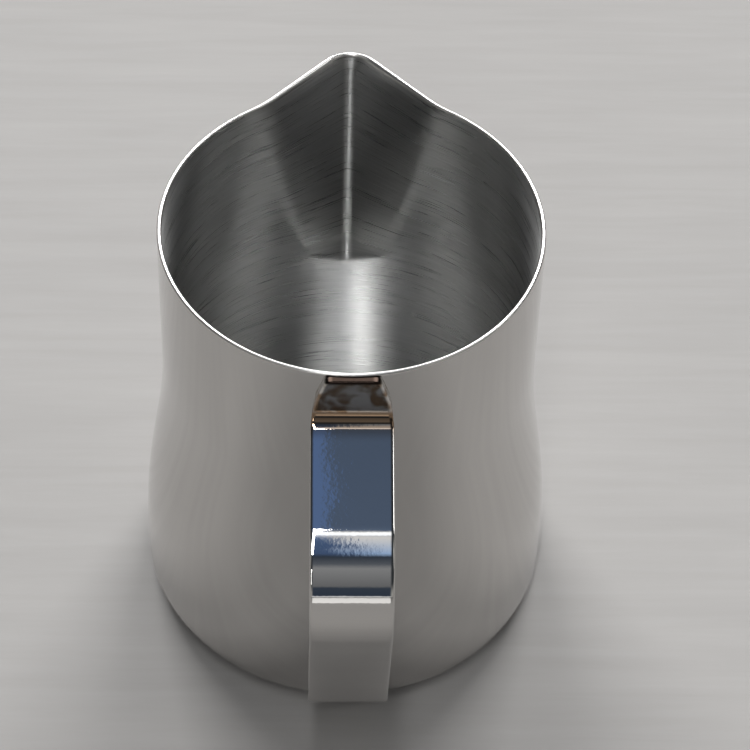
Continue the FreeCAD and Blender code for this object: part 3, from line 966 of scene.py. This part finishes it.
def add_floor(finish):
    """A round pale floor, far wider than the pitcher."""
    turn = np.linspace(0, 2 * math.pi, FLOOR_SIDES + 1)[:-1]
    ring = np.stack((FLOOR_RADIUS * np.cos(turn), FLOOR_RADIUS * np.sin(turn), 0 * turn), -1)
    mesh = bpy.data.meshes.new("studio_floor")
    mesh.from_pydata(ring.tolist(), [], [list(range(len(ring)))])
    mesh.materials.append(matt_floor("painted_floor", finish.floor))
    floor = bpy.data.objects.new("studio_floor", mesh)
    bpy.context.scene.collection.objects.link(floor)


def add_surroundings(scene):
    """Soft light all round, in broad level bands from the near horizon over the top to the far one.

    A direction's place is its angle over the X axis, as a share of half a turn.
    """
    world = bpy.data.worlds.new("studio_surroundings")
    world.use_nodes = True
    tree = world.node_tree
    tree.nodes.clear()
    way = add_node(tree, "ShaderNodeTexCoord")
    part = add_node(tree, "ShaderNodeSeparateXYZ", {}, {"Vector": way.outputs["Generated"]})
    near = add_node(tree, "ShaderNodeMath", {"operation": "MULTIPLY"},
                    {0: part.outputs["Y"], 1: -1.0})
    angle = add_node(tree, "ShaderNodeMath", {"operation": "ARCTAN2"},
                     {0: part.outputs["Z"], 1: near.outputs[0]})
    place = add_node(tree, "ShaderNodeMath", {"operation": "DIVIDE"},
                     {0: angle.outputs[0], 1: math.pi}).outputs[0]
    skies = []
    for patch in (SHADED_PATCH, SHINING_PATCH):
        bands = NEAR_BANDS + patch + FAR_BANDS
        ramp = add_node(tree, "ShaderNodeValToRGB", {}, {"Fac": place})
        while len(ramp.color_ramp.elements) < len(bands):
            ramp.color_ramp.elements.new(0.5)
        for element, (degrees, colour) in zip(ramp.color_ramp.elements, bands):
            element.position = degrees / 180
            element.color = linear(colour)
        skies.append(ramp.outputs["Color"])
    # Between 50 and 76 degrees it shines towards the right, with an uneven, slanting border:
    # a sum of the direction's X, its place and a noise, with each one's weight.
    wide = add_node(tree, "ShaderNodeMath", {"operation": "MULTIPLY"},
                    {0: part.outputs["X"], 1: 60.0})
    tall = add_node(tree, "ShaderNodeMath", {"operation": "MULTIPLY"}, {0: place, 1: 16.0})
    spot = add_node(tree, "ShaderNodeCombineXYZ", {},
                    {"X": wide.outputs[0], "Y": tall.outputs[0], "Z": 3.3})
    uneven = add_node(tree, "ShaderNodeTexNoise", {},
                      {"Vector": spot.outputs["Vector"], "Scale": 1.0, "Detail": 1.0})
    lean = add_node(tree, "ShaderNodeMath", {"operation": "MULTIPLY_ADD"},
                    {0: uneven.outputs["Fac"], 1: 1.6, 2: wide.outputs[0]})
    slope = add_node(tree, "ShaderNodeMath", {"operation": "MULTIPLY_ADD"},
                     {0: tall.outputs[0], 1: 0.45, 2: lean.outputs[0]})
    share = add_node(tree, "ShaderNodeMapRange", SOFT,
                     {"Value": slope.outputs[0], "From Min": 3.9, "From Max": 5.0})
    banded = add_node(tree, "ShaderNodeMix", {"data_type": "RGBA"},
                      {MIX_SHARE: share.outputs["Result"], MIX_FIRST: skies[0],
                       MIX_SECOND: skies[1]})
    # A slit of strong light runs just short of overhead, from 76 to 80 degrees.
    past = add_node(tree, "ShaderNodeMapRange", SOFT,
                    {"Value": place, "From Min": 75.4 / 180, "From Max": 76.6 / 180})
    before = add_node(tree, "ShaderNodeMapRange", SOFT,
                      {"Value": place, "From Min": 80.6 / 180, "From Max": 79.4 / 180})
    slit = add_node(tree, "ShaderNodeMath", {"operation": "MULTIPLY"},
                    {0: past.outputs["Result"], 1: before.outputs["Result"]})
    glare = add_node(tree, "ShaderNodeVectorMath", {"operation": "SCALE"},
                     {0: linear(SLIT_GLARE)[:3], "Scale": slit.outputs[0]})
    lit_slit = add_node(tree, "ShaderNodeVectorMath", {"operation": "ADD"},
                        {0: banded.outputs[MIXED], 1: glare.outputs["Vector"]})
    # Overhead, the sky is a lighter blue on the left.
    left = add_node(tree, "ShaderNodeMapRange", SOFT,
                    {"Value": part.outputs["X"], "From Min": 0.012, "From Max": 0.007})
    top = add_node(tree, "ShaderNodeMapRange", SOFT,
                   {"Value": part.outputs["Z"], "From Min": 0.93, "From Max": 0.99})
    both = add_node(tree, "ShaderNodeMath", {"operation": "MULTIPLY"},
                    {0: left.outputs["Result"], 1: top.outputs["Result"]})
    blue = add_node(tree, "ShaderNodeVectorMath", {"operation": "SCALE"},
                    {0: linear(OVERHEAD_BLUE)[:3], "Scale": both.outputs[0]})
    strip = add_node(tree, "ShaderNodeVectorMath", {"operation": "ADD"},
                     {0: lit_slit.outputs["Vector"], 1: blue.outputs["Vector"]})
    # The bands are a narrow strip. To both sides of it is plain dusk, hazy towards the horizon.
    out = add_node(tree, "ShaderNodeMath", {"operation": "ABSOLUTE"}, {0: part.outputs["X"]})
    aside = add_node(tree, "ShaderNodeMapRange", SOFT,
                     {"Value": out.outputs[0], "From Min": 0.05, "From Max": 0.13})
    risen = add_node(tree, "ShaderNodeMapRange", SOFT,
                     {"Value": part.outputs["Z"], "From Min": 0.05, "From Max": 0.32})
    dusk = add_node(tree, "ShaderNodeMix", {"data_type": "RGBA"},
                    {MIX_SHARE: risen.outputs["Result"], MIX_FIRST: linear(SIDE_HAZE),
                     MIX_SECOND: linear(SIDE_DUSK)})
    sky = add_node(tree, "ShaderNodeMix", {"data_type": "RGBA"},
                   {MIX_SHARE: aside.outputs["Result"], MIX_FIRST: strip.outputs["Vector"],
                    MIX_SECOND: dusk.outputs[MIXED]})
    # Beyond the floor's edge, the backdrop is plain.
    seen = add_node(tree, "ShaderNodeLightPath")
    lit = add_node(tree, "ShaderNodeBackground", {}, {"Color": sky.outputs[MIXED]})
    plain = add_node(tree, "ShaderNodeBackground", {}, {"Color": linear(BACKDROP)})
    chosen = add_node(tree, "ShaderNodeMixShader", {},
                      {"Fac": seen.outputs["Is Camera Ray"], 1: lit.outputs["Background"],
                       2: plain.outputs["Background"]})
    add_node(tree, "ShaderNodeOutputWorld", {}, {"Surface": chosen.outputs["Shader"]})
    scene.world = world


def add_softbox(target, name, azimuth, elevation, distance, width, depth, power, colour):
    """A rectangular softbox that faces the target, out along a bearing and a height angle."""
    turn = math.radians(azimuth)
    rise = math.radians(elevation)
    away = Vector((-math.sin(turn) * math.cos(rise), -math.cos(turn) * math.cos(rise),
                   math.sin(rise)))
    light = bpy.data.lights.new(name, "AREA")
    light.shape = "RECTANGLE"
    light.size = width
    light.size_y = depth
    light.energy = power
    light.color = linear(colour)[:3]
    lamp = bpy.data.objects.new(name, light)
    lamp.location = target + away * distance
    lamp.rotation_mode = "QUATERNION"
    lamp.rotation_quaternion = (-away).to_track_quat("-Z", "Y")
    lamp.visible_camera = False
    bpy.context.scene.collection.objects.link(lamp)


def add_camera(scene, rim):
    """A long lens that looks down into the mouth from behind the handle."""
    size = scene.pitcher_studio
    away = Vector((-math.sin(size.azimuth) * math.cos(size.elevation),
                   -math.cos(size.azimuth) * math.cos(size.elevation),
                   math.sin(size.elevation)))
    ahead = Vector((math.sin(size.heading) * math.cos(size.pitch),
                    math.cos(size.heading) * math.cos(size.pitch), -math.sin(size.pitch)))
    level = Vector((math.cos(size.heading), -math.sin(size.heading), 0))
    upright = level.cross(ahead)
    right = level * math.cos(size.roll) + upright * math.sin(size.roll)
    up = upright * math.cos(size.roll) - level * math.sin(size.roll)
    camera = bpy.data.cameras.new("camera")
    camera.sensor_width = 36
    camera.lens = size.lens
    camera.clip_start = 0.01
    camera.clip_end = 50
    stand = bpy.data.objects.new("camera", camera)
    turn = Matrix((right, up, -ahead)).transposed().to_4x4()
    stand.matrix_world = Matrix.Translation(rim + away * size.distance) @ turn
    scene.collection.objects.link(stand)
    scene.camera = stand


# ---- panel and registration ----------------------------------------------------------
OPERATORS = (PITCHER_OT_body, PITCHER_OT_strap, PITCHER_OT_welds, PITCHER_OT_studio)
GROUPS = {
    "pitcher_body": BodySizes,
    "pitcher_strap": StrapSizes,
    "pitcher_finishes": Finishes,
    "pitcher_studio": StudioSizes,
}


class PITCHER_PT_panel(bpy.types.Panel):
    """Lists the pitcher's pieces and its sizes"""

    bl_idname = "PITCHER_PT_panel"
    bl_label = "Milk frothing pitcher"
    bl_space_type = "VIEW_3D"
    bl_region_type = "UI"
    bl_category = "Pitcher"

    def draw(self, context):
        for operator in OPERATORS:
            self.layout.operator(operator.bl_idname, text=operator.bl_label)
        for name, group in GROUPS.items():
            box = self.layout.box()
            for key in group.__annotations__:
                box.prop(getattr(context.scene, name), key)


def register():
    for group in GROUPS.values():
        bpy.utils.register_class(group)
    for operator in OPERATORS:
        bpy.utils.register_class(operator)
    bpy.utils.register_class(PITCHER_PT_panel)
    for name, group in GROUPS.items():
        setattr(bpy.types.Scene, name, bpy.props.PointerProperty(type=group))


def unregister():
    for name in GROUPS:
        delattr(bpy.types.Scene, name)
    bpy.utils.unregister_class(PITCHER_PT_panel)
    for operator in reversed(OPERATORS):
        bpy.utils.unregister_class(operator)
    for group in reversed(list(GROUPS.values())):
        bpy.utils.unregister_class(group)


def main():
    register()
    bpy.ops.pitcher.body()
    bpy.ops.pitcher.strap()
    bpy.ops.pitcher.welds()
    bpy.ops.pitcher.studio()


if __name__ == "__main__":
    main()
